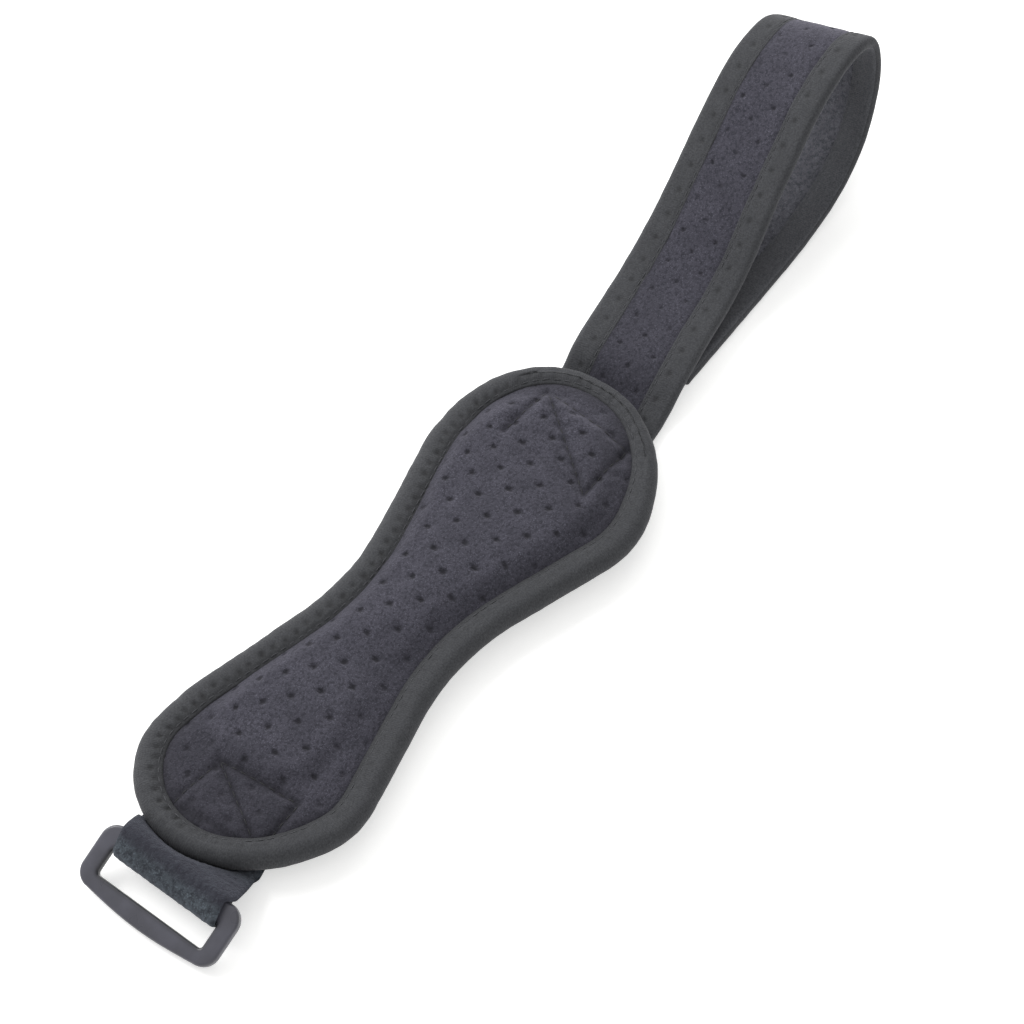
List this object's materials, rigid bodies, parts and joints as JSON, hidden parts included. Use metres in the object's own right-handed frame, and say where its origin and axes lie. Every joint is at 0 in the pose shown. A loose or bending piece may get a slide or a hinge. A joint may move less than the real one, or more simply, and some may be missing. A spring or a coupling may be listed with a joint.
{
  "type": "patella knee support strap",
  "caption": "Knee-cap strap with a padded dog-bone pad, a perforated adjusting strap folded back in a loop, and a ring buckle on a folded tape.",
  "frame": {"origin": "middle of the pad's flat back, the face worn against the knee", "axes": "+X along the pad towards the adjusting strap, +Y across it, +Z out of the pad's front"},
  "size_m": [0.3773, 0.0799, 0.0532],
  "materials": {
    "brushed_cloth": "brushed",
    "binding_tape": "knitted",
    "hook_tape": "hooked",
    "loop_tape": "looped pile",
    "moulded_plastic": "satin"
  },
  "bodies": {
    "root": {"pad_cushion": "brushed_cloth", "pad_binding": "binding_tape", "strap_panel": "brushed_cloth", "strap_binding_left": "binding_tape", "strap_binding_right": "binding_tape", "hook_patch": "hook_tape", "buckle_webbing": "loop_tape", "buckle": "moulded_plastic"}
  },
  "joints": []
}
